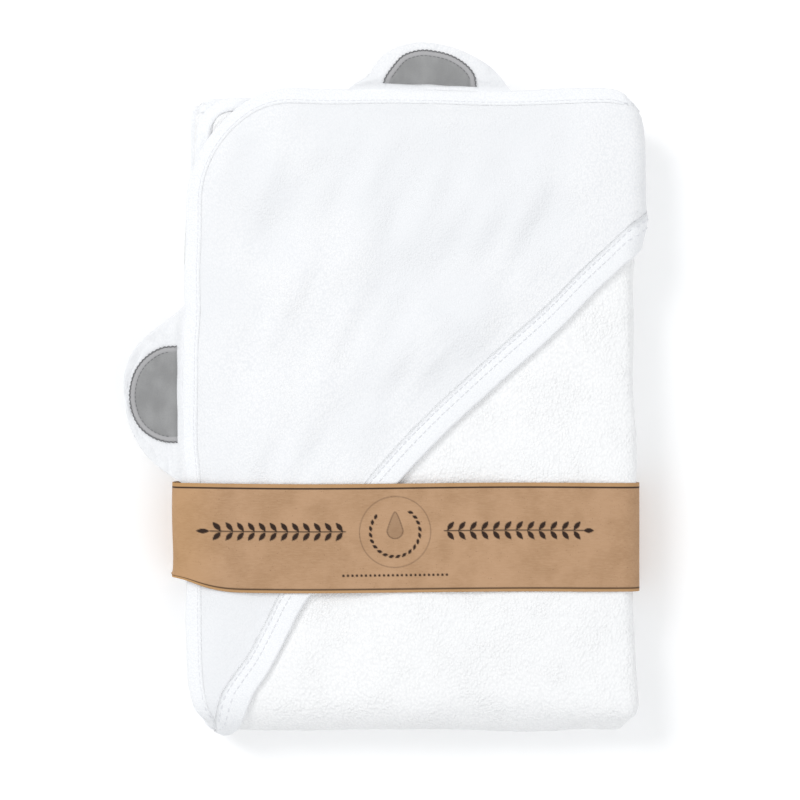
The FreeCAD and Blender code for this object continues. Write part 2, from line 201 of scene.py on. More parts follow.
def fold(u, v, n):
    """A place on the flat towel as a point of the folded packet, before softening."""
    across, height = ACROSS.at(u, n)
    v = np.broadcast_to(v, across.shape)
    back, up = ALONG.at(v, height)
    setback = np.interp(height, PLY_HEIGHTS, PLY_SETBACKS)
    back = back + setback * np.exp(-np.clip(v, 0, None) / SETBACK_FADE) * (v < FRONT_RUN)
    return join(across, -back, up)


# How far the long edges stand out of a straight line: (places along the packet, distances).
LEFT_OUTLINE = ([-151, -145, -138, -128, -117, -90, -34, -18, 8, 34, 50, 80, 105, 136, 151],
                [6.4, 5.2, 3.2, 1.0, -0.2, -0.5, -0.8, -2.2, -2.6, -2.2, -1.6, -0.9, 0.8, 2.2, 3.0])
RIGHT_OUTLINE = ([-151, -136, -120, -86, -30, 60, 74, 88, 108, 130, 142, 151],
                 [0.4, 0.9, 0.6, -0.2, 0.2, -0.1, 0.8, 3.2, 3.4, 2.4, 1.4, 0.6])
LEFT_REACH = (60.0, 104.0)
RIGHT_REACH = (70.0, 104.0)
LOW_SHARE = 0.35
CROWN = 0.16
FRONT_BULGE = 2.4
FRONT_REACH = (118.0, 150.0)
LIFTED = (1.0, 10.0)
UPPER = (14.0, 30.0)
LEAF_STRETCH = 7.0
# Corners seen from above: (side, end, radius).
ROUNDED = ((1, 1, 15.0), (-1, -1, 15.0), (1, -1, 9.0), (-1, 1, 11.0))
# Broad waves, then fine ones: (size, length, seed).
SWAY_ACROSS = ((0.6, 85.0, 1), (0.35, 33.0, 5))
SWAY_ALONG = ((0.7, 95.0, 2), (0.35, 37.0, 6))
RISE = ((0.8, 95.0, 3), (0.38, 36.0, 4))
# A shallow dent where the flap below the band meets the fold: place, reach and depth.
DENT = (-69.5, -101.0)
DENT_REACH = (7.0, 13.0)
DENT_DEPTH = 1.5
# The underside is lifted from the band towards -Y, so that the paper can slide off.
RELIEF = 1.0
RELIEF_START = (24.0, 33.0)
RELIEF_FADE = (0.5, 9.0)
LOWEST = 0.05


def round_corners(x, y):
    """Draws the packet's square corners in to the given radii, seen from above."""
    for side, end, radius in ROUNDED:
        across = side * x - (HALF_WIDTH - radius)
        along = end * y - (HALF_LENGTH - radius)
        inside = (across > 0) & (along > 0)
        far = np.maximum(across, along)
        reach = np.maximum(np.hypot(across, along), 1e-6)
        shrink = 1 - (1 - far / reach) * np.clip(far / radius, 0, 1) ** 1.5
        x = np.where(inside, side * (HALF_WIDTH - radius + across * shrink), x)
        y = np.where(inside, end * (HALF_LENGTH - radius + along * shrink), y)
    return x, y


def two_waves(broad_spots, fine_spots, sizes):
    """Broad and fine waves together."""
    (size, length, seed), (fine_size, fine_length, fine_seed) = sizes
    return (size * waves(broad_spots, length, seed)
            + fine_size * waves(fine_spots, fine_length, fine_seed))


def soften(points):
    """The soft packet: crowned, rounded at its corners, uneven along its edges."""
    x, y = round_corners(points[..., 0], points[..., 1])
    z = points[..., 2]
    side = np.clip(np.abs(x) / HALF_WIDTH, 0, 1)
    end = np.clip(np.abs(y) / HALF_LENGTH, 0, 1)
    crown = (1 - side ** 3) * (1 - end ** 5)
    height = z * (1 + CROWN * crown)
    lifted = smooth(z, *LIFTED)
    upper = smooth(z, *UPPER)
    share = LOW_SHARE + (1 - LOW_SHARE) * upper
    left = np.interp(y, *LEFT_OUTLINE) * smooth(-x, *LEFT_REACH) * share
    right = np.interp(y, *RIGHT_OUTLINE) * smooth(x, *RIGHT_REACH) * share
    spots = join(x, y, z)
    leaves = join(x, y, LEAF_STRETCH * z)
    sway_x = two_waves(leaves, spots, SWAY_ACROSS) * side * lifted
    sway_y = two_waves(leaves, spots, SWAY_ALONG) * end * lifted
    sway_y = sway_y - FRONT_BULGE * smooth(-y, *FRONT_REACH) * smooth(z, 0.0, RELIEF_FADE[1])
    rise = two_waves(spots, spots, RISE) * lifted
    dent = bump(x, DENT[0], DENT_REACH[0]) * bump(y, DENT[1], DENT_REACH[1])
    rise = rise - DENT_DEPTH * dent * upper
    relief = RELIEF * smooth(-y, *RELIEF_START) * (1 - smooth(z, *RELIEF_FADE))
    height = np.maximum(height + rise + relief, LOWEST)
    return join(x + left + right + sway_x, y + sway_y, height)


def place(u, v, n):
    return soften(fold(u, v, n))


# ---- meshes

def add_object(name, data):
    item = bpy.data.objects.new(name, data)
    bpy.context.scene.collection.objects.link(item)
    return item


def make_mesh(name, points, faces):
    mesh = bpy.data.meshes.new(name)
    mesh.from_pydata((points.reshape(-1, 3) * MM).tolist(), [], faces)
    mesh.update()
    mesh.shade_smooth()
    return add_object(name, mesh)


def grid_faces(rows, columns, start=0, wrap_rows=False, wrap_columns=False, flip=False):
    """Quads of a grid of points stored row by row."""
    i = np.arange(rows if wrap_rows else rows - 1)
    j = np.arange(columns if wrap_columns else columns - 1)
    i, j = np.meshgrid(i, j, indexing="ij")
    i2, j2 = (i + 1) % rows, (j + 1) % columns
    quads = np.stack([i * columns + j, i * columns + j2, i2 * columns + j2, i2 * columns + j], -1)
    quads = quads.reshape(-1, 4) + start
    return (quads[:, ::-1] if flip else quads).tolist()


def rim_faces(rows, columns):
    """Walls that join the border of one grid to the border of the next one, below it."""
    index = np.arange(rows * columns).reshape(rows, columns)
    loop = np.concatenate([index[0, :-1], index[:-1, -1], index[-1, :0:-1], index[:0:-1, 0]])
    after = np.roll(loop, -1)
    below = rows * columns
    return np.stack([loop, loop + below, after + below, after], -1).tolist()


def cloth_sheet(name, top, bottom):
    """A closed sheet between two grids of points."""
    rows, columns = top.shape[:2]
    faces = grid_faces(rows, columns, flip=True)
    faces += grid_faces(rows, columns, start=rows * columns)
    faces += rim_faces(rows, columns)
    return make_mesh(name, np.concatenate([top.reshape(-1, 3), bottom.reshape(-1, 3)]), faces)


def swept(name, rings, closed=False):
    """A tube through rings of points; an open one gets capped ends."""
    count, size = rings.shape[:2]
    faces = grid_faces(count, size, wrap_rows=closed, wrap_columns=True)
    if not closed:
        faces.append(list(range(size)))
        faces.append([(count - 1) * size + k for k in reversed(range(size))])
    return make_mesh(name, rings, faces)


def mark_points(item, name, values):
    """Keeps a number for each point of a mesh, for its material to read."""
    layer = item.data.attributes.new(name, "FLOAT", "POINT")
    layer.data.foreach_set("value", values.astype(np.float32))


# ---- materials

def opaque(colour):
    """A plain colour with full alpha; a socket stays as it is."""
    return (*colour, 1) if isinstance(colour, tuple) else colour


class Nodes:
    """A material's or a world's nodes, added in short calls."""

    def __init__(self, owner, main):
        owner.use_nodes = True
        self.nodes = owner.node_tree.nodes
        self.links = owner.node_tree.links
        self.main = self.nodes[main]

    def add(self, kind, **values):
        node = self.nodes.new(kind)
        for key, value in values.items():
            if key in node.inputs:
                self.feed(node.inputs[key], value)
            else:
                setattr(node, key, value)
        return node

    def feed(self, socket, value):
        if isinstance(value, bpy.types.NodeSocket):
            self.links.new(value, socket)
        else:
            socket.default_value = value

    def blend(self, share, first, second):
        node = self.add("ShaderNodeMix", data_type="RGBA")
        for socket, value in ((0, share), (6, opaque(first)), (7, opaque(second))):
            self.feed(node.inputs[socket], value)
        return node.outputs[2]


class Shader(Nodes):
    """A principled material."""

    def __init__(self, name, roughness=0.9, sheen=0.0):
        self.material = bpy.data.materials.new(name)
        super().__init__(self.material, "Principled BSDF")
        for key, value in (("Roughness", roughness), ("Specular IOR Level", 0.15),
                           ("Sheen Weight", sheen), ("Sheen Roughness", 0.6)):
            self.main.inputs[key].default_value = value
        self.spot = self.add("ShaderNodeTexCoord").outputs["Object"]
        self.normal = None

    def math(self, operation, first, second=0.0, third=0.0):
        node = self.add("ShaderNodeMath", operation=operation)
        for socket, value in zip(node.inputs, (first, second, third)):
            self.feed(socket, value)
        return node.outputs[0]

    def ramp(self, value, low, high, bottom=0.0, top=1.0):
        node = self.add("ShaderNodeMapRange", interpolation_type="SMOOTHSTEP")
        for key, item in (("Value", value), ("From Min", low), ("From Max", high),
                          ("To Min", bottom), ("To Max", top)):
            self.feed(node.inputs[key], item)
        return node.outputs["Result"]

    def scaled(self, size_mm, stretch):
        mapping = self.add("ShaderNodeMapping", Vector=self.spot)
        mapping.inputs["Scale"].default_value = [1 / (size_mm * MM * s) for s in stretch]
        return mapping.outputs["Vector"]

    def noise(self, size_mm, detail=2.0, stretch=(1, 1, 1), rough=0.5):
        spot = self.scaled(size_mm, stretch)
        return self.add("ShaderNodeTexNoise", Detail=detail, Roughness=rough, Scale=1.0,
                        Vector=spot).outputs["Fac"]

    def cells(self, size_mm, stretch=(1, 1, 1)):
        spot = self.scaled(size_mm, stretch)
        return self.add("ShaderNodeTexVoronoi", Scale=1.0, feature="SMOOTH_F1", Smoothness=0.35,
                        Vector=spot).outputs["Distance"]

    def stored(self, name):
        return self.add("ShaderNodeAttribute", attribute_name=name).outputs["Fac"]

    def bump(self, height, depth_mm):
        node = self.add("ShaderNodeBump", Distance=depth_mm * MM, Strength=1.0, Height=height)
        if self.normal is not None:
            self.links.new(self.normal, node.inputs["Normal"])
        self.normal = node.outputs["Normal"]
        self.links.new(self.normal, self.main.inputs["Normal"])

    def colour(self, value):
        self.feed(self.main.inputs["Base Color"], opaque(value))


def terry_material(name, light, shade, loop=1.15, depth=0.55, painted_mottle=0.25):
    """Looped pile: rounded loops in irregular rows, painted shade in the hollows between the loops
    that is painted lighter again on flattened patches, and a broad mottle of painted shade.
    """
    look = Shader(name, roughness=0.95, sheen=0.25)
    loops = look.cells(loop, stretch=(1.0, 1.25, 1.0))
    fine = look.noise(loop * 0.45, detail=2.0)
    patches = look.noise(16.0, detail=3.0)
    pile = look.math("SUBTRACT", 1.0, loops)
    height = look.math("MULTIPLY_ADD", fine, 0.35, pile)
    pressed = look.ramp(patches, 0.35, 0.7, 0.55, 1.0)
    look.bump(look.math("MULTIPLY", height, pressed), depth)
    # painted shade: the loops' hollows are coloured towards the shade colour, and flattened patches
    # back towards the light one
    hollow = look.ramp(height, 0.35, 1.0)
    tone = look.blend(hollow, shade, light)
    tone = look.blend(look.ramp(patches, 0.3, 0.8, 0.0, 0.35), tone, light)
    # painted shade: a broad mottle darkens the terry in patches, in place of the shading of soft
    # folds; the hood has more of it
    shade_mottle = look.noise(60.0, detail=2.0, stretch=(1.0, 1.3, 1.0))
    look.colour(look.blend(look.ramp(shade_mottle, 0.38, 0.62, 0.0, painted_mottle), tone, shade))
    return look.material


def knit_material(name, light, shade):
    """Fine knit tape, with painted shade in the knit's hollows."""
    look = Shader(name, roughness=0.85, sheen=0.15)
    weave = look.cells(0.7)
    fuzz = look.noise(0.4, detail=2.0)
    height = look.math("MULTIPLY_ADD", fuzz, 0.4, look.math("SUBTRACT", 1.0, weave))
    look.bump(height, 0.16)
    # painted shade: the low parts of the knit are coloured towards the shade colour
    look.colour(look.blend(look.ramp(height, 0.3, 1.0), shade, light))
    return look.material


def thread_material(name, light, shade):
    look = Shader(name, roughness=0.7, sheen=0.1)
    twist = look.noise(0.35, detail=1.0)
    look.bump(twist, 0.08)
    # painted shade: the thread is coloured towards the shade colour where its twist lies low
    look.colour(look.blend(twist, shade, light))
    return look.material


VELOUR_DEEP = (0.22, 0.22, 0.22)
VELOUR_SHADE = (0.27, 0.27, 0.27)
VELOUR_LIGHT = (0.345, 0.345, 0.345)
VELOUR_RIM = (0.415, 0.41, 0.415)


def velour_material(name):
    """Short grey pile, lighter where it is turned in at the rim."""
    look = Shader(name, roughness=0.9, sheen=0.35)
    rim = look.stored("rim")
    pile = look.noise(0.55, detail=3.0)
    brushed = look.noise(9.0, detail=3.0, stretch=(1.0, 1.6, 1.0))
    look.bump(pile, 0.18)
    base = look.blend(look.ramp(brushed, 0.3, 0.75), VELOUR_SHADE, VELOUR_LIGHT)
    base = look.blend(look.ramp(pile, 0.3, 0.8, 0.0, 0.3), base, VELOUR_DEEP)
    look.colour(look.blend(rim, base, VELOUR_RIM))
    return look.material


PAPER_DARK = (0.425, 0.254, 0.140)
PAPER_LIGHT = (0.505, 0.310, 0.180)
PAPER_FIBRE = (0.56, 0.36, 0.22)
PAPER_FLECK = (0.24, 0.13, 0.07)
PAPER_EDGE = (0.53, 0.30, 0.12)
INK_BROWN = (0.035, 0.020, 0.014)


def kraft_material():
    """Uncoated kraft paper with fibres, flecks and dark brown print."""
    look = Shader("kraft_paper", roughness=0.82)
    ink = look.stored("ink")
    tint = look.stored("tint")
    fibres = look.noise(1.1, detail=4.0, stretch=(3.0, 0.6, 1.0), rough=0.7)
    mottle = look.noise(12.0, detail=4.0)
    flecks = look.noise(0.8, detail=2.0)
    base = look.blend(look.ramp(mottle, 0.3, 0.7), PAPER_DARK, PAPER_LIGHT)
    base = look.blend(look.ramp(fibres, 0.35, 0.75, 0.0, 0.45), base, PAPER_FIBRE)
    base = look.blend(look.ramp(flecks, 0.66, 0.74, 0.0, 0.5), base, PAPER_FLECK)
    base = look.blend(look.math("MULTIPLY", tint, 0.5), base, PAPER_EDGE)
    look.colour(look.blend(ink, base, INK_BROWN))
    look.bump(look.math("ADD", fibres, flecks), 0.05)
    return look.material


def floor_material():
    look = Shader("studio_floor", roughness=0.9)
    look.colour((0.94, 0.94, 0.94))
    look.main.inputs["Emission Color"].default_value = (1, 1, 1, 1)
    look.main.inputs["Emission Strength"].default_value = 0.10
    return look.material


def glue_material():
    look = Shader("dried_glue", roughness=0.4)
    look.colour(look.blend(look.noise(3.0), (0.62, 0.55, 0.40), (0.75, 0.68, 0.52)))
    return look.material


def satin_material():
    """Woven satin label: fine cross threads, with painted shade between the raised threads."""
    look = Shader("satin_label", roughness=0.45)
    weave = look.noise(0.35, detail=1.0, stretch=(1.0, 6.0, 1.0))
    look.bump(weave, 0.04)
    # painted shade: the weave is coloured darker where its threads lie low
    look.colour(look.blend(weave, (0.80, 0.80, 0.78), (0.90, 0.90, 0.89)))
    return look.material


TERRY = terry_material("terry_loops", (0.978, 0.976, 0.974), (0.905, 0.905, 0.908))
# The hood's whites are a little darker than the body's: painted shade for the hood's shaded look.
HOOD_TERRY = terry_material("terry_hood", (0.925, 0.924, 0.930), (0.845, 0.853, 0.870),
                            loop=0.9, depth=0.26, painted_mottle=0.75)
KNIT = knit_material("knit_tape", (0.945, 0.95, 0.96), (0.88, 0.89, 0.91))
THREAD = thread_material("white_thread", (0.88, 0.88, 0.90), (0.76, 0.77, 0.80))
GREY_THREAD = thread_material("grey_thread", (0.25, 0.25, 0.255), (0.14, 0.14, 0.145))
VELOUR = velour_material("grey_velour")
KRAFT = kraft_material()


def dress(item, material, slot, body=None, *nodes):
    """Gives a piece its material, the body it rides on and hides the CAD nodes it replaces; slot is
    not used.
    """
    item.data.materials.clear()
    item.data.materials.append(material)
    if body:
        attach(item, body)
    if nodes:
        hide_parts(*nodes)
    return item


# ---- the towel's cloth

HOOD_CORNER = 50.0
SQUARE_CORNER = 16.0
CORNER_REACH = 84.0
PRESSED = (2.0, 13.0)
BODY_EDGE = 0.8
CLOTH_STEP = 2.2
HIDDEN_STEP = 9.0
FIRST_MARGIN = 14.0
HIDDEN_MARGIN = 16.0


def row_limits(v):
    """The flat cloth's left and right ends on a row, with its rounded corners."""
    left = np.zeros(np.shape(v))
    right = np.full(np.shape(v), WIDE)
    for distance, left_radius, right_radius in ((v, HOOD_CORNER, SQUARE_CORNER),
                                                (LONG - v, SQUARE_CORNER, SQUARE_CORNER)):
        for radius, edge, sign in ((left_radius, left, 1), (right_radius, right, -1)):
            dip = np.clip(radius - distance, 0, radius)
            edge += sign * (radius - np.sqrt(radius ** 2 - dip ** 2))
    return left, right


def squeeze_row(a, left, right):
    """Keeps a row's middle where it is and moves its ends to the given limits."""
    inset = WIDE - right
    near = left + a * (CORNER_REACH - left) / CORNER_REACH
    far = WIDE - (inset + (WIDE - a) * (CORNER_REACH - inset) / CORNER_REACH)
    return np.where(a < CORNER_REACH, near, np.where(a > WIDE - CORNER_REACH, far, a))


def edge_distance(u, v):
    """How far a place is from the towel's cut edge, with the hood's rounded corner."""
    corner_u = np.clip(HOOD_CORNER - u, 0, None)
    corner_v = np.clip(HOOD_CORNER - v, 0, None)
    arc = HOOD_CORNER - np.hypot(corner_u, corner_v)
    straight = np.minimum(np.minimum(u, WIDE - u), np.minimum(v, LONG - v))
    return np.where((corner_u > 0) & (corner_v > 0), arc, straight)


def pressed(u, v):
    """0 at the sewn edge, 1 where the cloth has its full thickness."""
    return smooth(edge_distance(u, v), *PRESSED)


def body_half(u, v):
    """Half the cloth's thickness at a place."""
    return BODY_EDGE + (CLOTH / 2 - BODY_EDGE) * pressed(u, v)


def spaced(stops):
    """Positions from stop to stop; each stop is (place, step after it)."""
    parts = []
    for (begin, step), (finish, _) in zip(stops[:-1], stops[1:]):
        count = max(1, round((finish - begin) / step))
        parts.append(np.linspace(begin, finish, count, endpoint=False))
    return np.append(np.concatenate(parts), stops[-1][0])


def fold_stops(path, bend_parts):
    """Grid lines for a fold: fine on the first run, coarse on hidden runs, even round the bends."""
    stops = []
    for index, (begin, length, _, _, _, turn) in enumerate(path.pieces):
        if turn:
            stops.append((begin, length / bend_parts))
        elif index == 0:
            stops += [(begin, CLOTH_STEP / 2), (begin + FIRST_MARGIN, CLOTH_STEP)]
        else:
            edge = min(HIDDEN_MARGIN, length / 4)
            stops += [(begin, HIDDEN_STEP / 2), (begin + edge, HIDDEN_STEP),
                      (begin + length - edge, HIDDEN_STEP / 2)]
    stops.append((path.length, 0))
    return spaced(stops)


def build_towel():
    a, v = np.meshgrid(fold_stops(ACROSS, 10), fold_stops(ALONG, 14))
    left, right = row_limits(v)
    u = squeeze_row(a, left, right)
    half = body_half(u, v)
    pile = 0.16 * waves(join(u, v), 5.5, 11, count=24) * pressed(u, v)
    top = place(u, v, half + pile)
    bottom = place(u, v, -half)
    cloth = cloth_sheet("towel_body_terry", top, bottom)
    return dress(cloth, TERRY, "terry", "packet", "towel_body")


# ---- the hood

HEM_POINTS = [(226.0, 56.0), (218.4, 65.0), (211.5, 73.0), (204.6, 81.0), (194.0, 91.6),
              (178.6, 107.4), (149.5, 133.6), (120.7, 160.2), (98.8, 183.3), (76.5, 211.0),
              (55.6, 238.8), (47.2, 254.2), (38.0, 271.5), (31.6, 280.0), (25.4, 287.4),
              (19.4, 294.2), (13.6, 300.8), (8.4, 306.8)]
HEM_START_U, HEM_START_V = HEM_POINTS[0]
HEM_END = HEM_POINTS[-1][1]
HEM_SLANT = 0.7    # a run across the cloth times this is the distance from the slanting hem
HOOD = 2.0
HOOD_EDGE = 1.5
HOOD_GAP = 0.12
HOOD_PILLOW = 1.3
# Soft folds along the hem's direction: (size, length, seed, count), then their lowest and highest.
HOOD_FOLDS = ((1.35, 40.0, 21, 14), (0.6, 17.0, 22, 12))
FOLD_LOWEST = -2.0
FOLD_HIGHEST = 2.3
FOLD_SHARE = 0.85
# How far from the cloth's edge and from the hem the folds and the pillow set in.
FOLD_REACH = ((6.0, 45.0), (8.0, 40.0))
PILLOW_REACH = ((3.0, 16.0), (12.0, 30.0))
HOOD_ROWS = [(0.0, 1.1), (14.0, 2.1), (FRONT_RUN, 1.6), (HEM_END - 4.0, 0)]
HOOD_SHARES = [(0.0, 0.007), (0.08, 0.0105), (0.9, 0.007), (1.0, 0)]


def smooth_line(points, step):
    """A Catmull-Rom curve through the points, at even steps, with its unit tangents."""
    points = np.array(points, float)
    ends = np.vstack([2 * points[0] - points[1], points, 2 * points[-1] - points[-2]])
    curve = []
    for k in range(len(points) - 1):
        p0, p1, p2, p3 = ends[k:k + 4]
        t = np.linspace(0, 1, 24, endpoint=False)[:, None]
        curve.append(0.5 * (2 * p1 + (p2 - p0) * t + (2 * p0 - 5 * p1 + 4 * p2 - p3) * t ** 2
                            + (3 * p1 - p0 - 3 * p2 + p3) * t ** 3))
    return resample(np.vstack(curve + [points[-1:]]), step)


def resample(curve, step, closed=False):
    """The same curve at even steps, with its unit tangents."""
    if closed:
        curve = np.vstack([curve, curve[:1]])
    lengths = np.concatenate([[0], np.cumsum(np.linalg.norm(np.diff(curve, axis=0), axis=1))])
    count = max(2, round(lengths[-1] / step))
    marks = np.linspace(0, lengths[-1], count + 1)
    if closed:
        marks = marks[:-1]
    even = np.stack([np.interp(marks, lengths, curve[:, k]) for k in range(curve.shape[1])], -1)
    if closed:
        tangent = np.roll(even, -1, axis=0) - np.roll(even, 1, axis=0)
    else:
        tangent = np.gradient(even, axis=0)
    return even, unit(tangent)


hem_line, hem_tangent = smooth_line(HEM_POINTS, 1.5)
hem_inward = turned(hem_tangent)
hem_order = np.argsort(hem_line[:, 1])


def hem_at(v):
    """Where the hem crosses a row of the flat cloth."""
    return np.interp(v, hem_line[hem_order, 1], hem_line[hem_order, 0])


def hood_cover(u, v):
    """1 where the hood lies over the towel, easing to 0 just past its hem."""
    beyond = (u - hem_at(np.clip(v, HEM_START_V, HEM_END))) * HEM_SLANT
    return (1 - smooth(np.maximum(beyond, v - HEM_END), -1.0, 2.0)) * (u < HEM_START_U + 4)


def hood_top(u, v):
    """Height of the hood's upper face over the towel's middle surface."""
    flat = body_half(u, v) + HOOD_GAP + HOOD_EDGE + (HOOD - HOOD_EDGE) * pressed(u, v)
    drape = join((u + v) / math.sqrt(2), (u - v) / math.sqrt(2) * 0.5)
    folds = sum(size * waves(drape, *wave) for size, *wave in HOOD_FOLDS)
    folds = np.clip(folds, FOLD_LOWEST, FOLD_HIGHEST) * FOLD_SHARE
    from_edge = edge_distance(u, v)
    from_hem = (hem_at(v) - u) * HEM_SLANT
    folded, padded = (smooth(from_edge, *edge) * smooth(from_hem, *hem)
                      for edge, hem in (FOLD_REACH, PILLOW_REACH))
    return flat + HOOD_PILLOW * padded + folds * folded


def build_hood():
    share, v = np.meshgrid(spaced(HOOD_SHARES), spaced(HOOD_ROWS))
    left = row_limits(v)[0] + 0.3
    right = hem_at(np.clip(v, HEM_START_V, HEM_END)) - 1.0
    u = left + (right - left) * share
    pile = 0.09 * waves(join(u, v), 4.5, 12, count=24) * pressed(u, v)
    top = place(u, v, hood_top(u, v) + pile)
    bottom = place(u, v, body_half(u, v) + HOOD_GAP)
    cloth = cloth_sheet("hood_panel_terry", top, bottom)
    return dress(cloth, HOOD_TERRY, "terry", "packet", "hood_panel")


# ---- tapes and stitches

TAPE = 0.5
TAPE_AIR = 0.1
TAPE_TURN_IN = 0.5
EDGE_TAPE = 6.6
EDGE_STITCH_INSET = 1.6
HEM_TAPE = 12.0
HEM_TAPE_UNDER = 8.0
HEM_STITCH_INSETS = (6.8, 9.8)
HEM_FLOOR = 7.4    # the hem tape's end stays this far in, under the edge tape
STITCH_PITCH = 3.04
STITCH_LENGTH = 2.35
STITCH_WIDTH = 0.62
STITCH_THICK = 0.5
STITCH_SIDES = 6
STITCH_STATIONS = ((-0.5, 0.25), (-0.36, 0.85), (0.0, 1.0), (0.36, 0.85), (0.5, 0.25))
FINE = 0.62


def rounded_rectangle(width, length, radii, step):
    """A closed outline from the 0, 0 corner down its left side, with its tangents."""
    corners = [((0, 0), (-1, 0), (0, 1)), ((0, length), (0, 1), (1, 0)),
               ((width, length), (1, 0), (0, -1)), ((width, 0), (0, -1), (-1, 0))]
    points = []
    for (corner, before, after), radius in zip(corners, radii):
        corner, before, after = (np.array(item, float) for item in (corner, before, after))
        centre = corner + (after - before) * radius
        for angle in np.linspace(0, math.pi / 2, 20):
            points.append(centre - radius * (after * math.cos(angle) - before * math.sin(angle)))
    return resample(np.array(points), step, closed=True)


edge_line, edge_tangent = rounded_rectangle(
    WIDE, LONG, [HOOD_CORNER, SQUARE_CORNER, SQUARE_CORNER, SQUARE_CORNER], 2.4)
edge_inward = -turned(edge_tangent)


def upper_face(u, v):
    """The topmost cloth at a place: the hood where it covers the towel."""
    cover = hood_cover(u, v)
    return body_half(u, v) * (1 - cover) + hood_top(u, v) * cover


def tape_rings(line, inward, width, upper, lower, lower_width, floor_u=None):
    """Rings of a tape folded round an edge: its outside from upper to lower, then its inside back.
    No place lies further out than floor_u."""
    turn = np.linspace(0, math.pi, 9)
    rings = []
    for layer in (TAPE, 0.0):
        distance = np.concatenate([[width, width * 0.8, width * 0.55, width * 0.3],
                                   TAPE_TURN_IN - (TAPE_TURN_IN + TAPE_AIR + layer) * np.sin(turn),
                                   [lower_width * 0.3, lower_width * 0.65, lower_width]])
        share = np.concatenate([np.ones(4), (1 + np.cos(turn)) / 2, np.zeros(3)])
        spots = line[:, None, :] + inward[:, None, :] * distance[None, :, None]
        u, v = spots[..., 0], spots[..., 1]
        if floor_u is not None:
            u = np.maximum(u, floor_u)
        high = upper(u, v) + TAPE_AIR + layer
        low = lower(u, v) - layer
        edge_lip = (layer + TAPE_AIR - 0.04) * (np.abs(distance - width) < 0.01) * (layer > 0)
        n = low + (high - edge_lip - low) * share
        ring = place(u, v, n)
        rings.append(ring if layer else ring[:, ::-1])
    return np.concatenate(rings, axis=1)


def stitch_mesh(name, centres, directions, ups, length, width, thick):
    """One small pillow-shaped stitch at each centre."""
    around = np.linspace(0, 2 * math.pi, STITCH_SIDES + 1)[:-1]
    sides = unit(np.cross(directions, ups))
    ups = np.cross(sides, directions)
    rings = []
    for along, size in STITCH_STATIONS:
        ring = (centres[:, None, :] + directions[:, None, :] * along * length
                + sides[:, None, :] * (np.cos(around) * size * width / 2)[None, :, None]
                + ups[:, None, :] * (np.sin(around) * size * thick / 2)[None, :, None])
        rings.append(ring)
    points = np.stack(rings, axis=1)
    count = len(STITCH_STATIONS) * STITCH_SIDES
    one = grid_faces(len(STITCH_STATIONS), STITCH_SIDES, wrap_columns=True)
    one += [list(range(STITCH_SIDES)), list(range(count - 1, count - 1 - STITCH_SIDES, -1))]
    faces = [[corner + count * k for corner in face] for k in range(len(centres)) for face in one]
    return make_mesh(name, points, faces)


def sew(name, line, inward, inset, upper, closed=False, size=1.0):
    """A row of stitches that far inside an edge, lying on the upper face."""
    even, tangent = resample(line + inward * inset, STITCH_PITCH, closed)

    def on_tape(spots, lift):
        u, v = spots.T
        return place(u, v, upper(u, v) + TAPE_AIR + TAPE + lift)

    reach = tangent * STITCH_LENGTH / 2
    direction = on_tape(even + reach, 0.0) - on_tape(even - reach, 0.0)
    centre = on_tape(even, 0.04)
    up = on_tape(even, 1.0) - on_tape(even, 0.0)
    keep = (np.linalg.norm(direction, axis=1) > 0.5) & (np.linalg.norm(up, axis=1) > 0.3)
    return stitch_mesh(name, centre[keep], unit(direction[keep]), unit(up[keep]), STITCH_LENGTH,
                       STITCH_WIDTH * size, STITCH_THICK * size)


def build_edge_tape():
    rings = tape_rings(edge_line, edge_inward, EDGE_TAPE, upper_face,
                       lambda u, v: -body_half(u, v) - TAPE_AIR, EDGE_TAPE)
    tape = swept("edge_tape_knit", rings, closed=True)
    dress(tape, KNIT, "binding", "packet", "edge_tape")
    thread = sew("edge_tape_stitches", edge_line, edge_inward, EDGE_TAPE - EDGE_STITCH_INSET,
                 upper_face, closed=True, size=FINE)
    dress(thread, THREAD, "thread", "packet", "edge_tape_thread")
    return tape


def build_hem_tape():
    visible = hem_line[:, 0] > HEM_FLOOR + 1.5
    line, inward = hem_line[visible], hem_inward[visible]
    rings = tape_rings(line, inward, HEM_TAPE, hood_top,
                       lambda u, v: body_half(u, v) + TAPE + 0.08, HEM_TAPE_UNDER, HEM_FLOOR)
    tape = swept("hood_hem_tape_knit", rings)
    dress(tape, KNIT, "binding", "packet", "hood_hem_tape")
    for number, inset in enumerate(HEM_STITCH_INSETS, 1):
        sewn = line[line[:, 0] > HEM_FLOOR + inset]
        row = sew(f"hood_hem_stitches_{number}", sewn, inward[:len(sewn)], inset, hood_top)
        dress(row, THREAD, "thread", "packet", "hood_hem_thread")
    return tape


# ---- the ears

LEFT_EAR = [(-104.4, 53.0), (-107.6, 48.6), (-112.8, 43.8), (-119.2, 39.0), (-128.2, 31.6),
            (-133.2, 25.2), (-135.9, 16.4), (-136.3, 8.9), (-135.6, 0.5), (-134.2, -5.4),
            (-131.4, -11.8), (-126.2, -20.6), (-119.6, -26.2), (-114.8, -29.8), (-110.4, -32.8),
            (-104.4, -36.5)]
LEFT_PATCH = [(-110.2, 30.0), (-117.0, 29.4), (-123.0, 26.4), (-128.2, 21.4), (-131.6, 14.4),
              (-132.7, 6.0), (-131.2, -2.0), (-127.4, -8.6), (-121.6, -13.0), (-115.6, -15.0),
              (-110.0, -15.2)]
TOP_EAR = [(-33.0, 147.5), (-28.1, 152.4), (-23.2, 156.6), (-18.8, 161.3), (-14.0, 167.0),
           (-7.0, 171.2), (0.0, 172.9), (6.1, 173.3), (15.5, 171.9), (25.3, 168.4), (35.6, 162.3),
           (41.3, 156.6), (45.6, 151.0), (48.6, 147.5)]
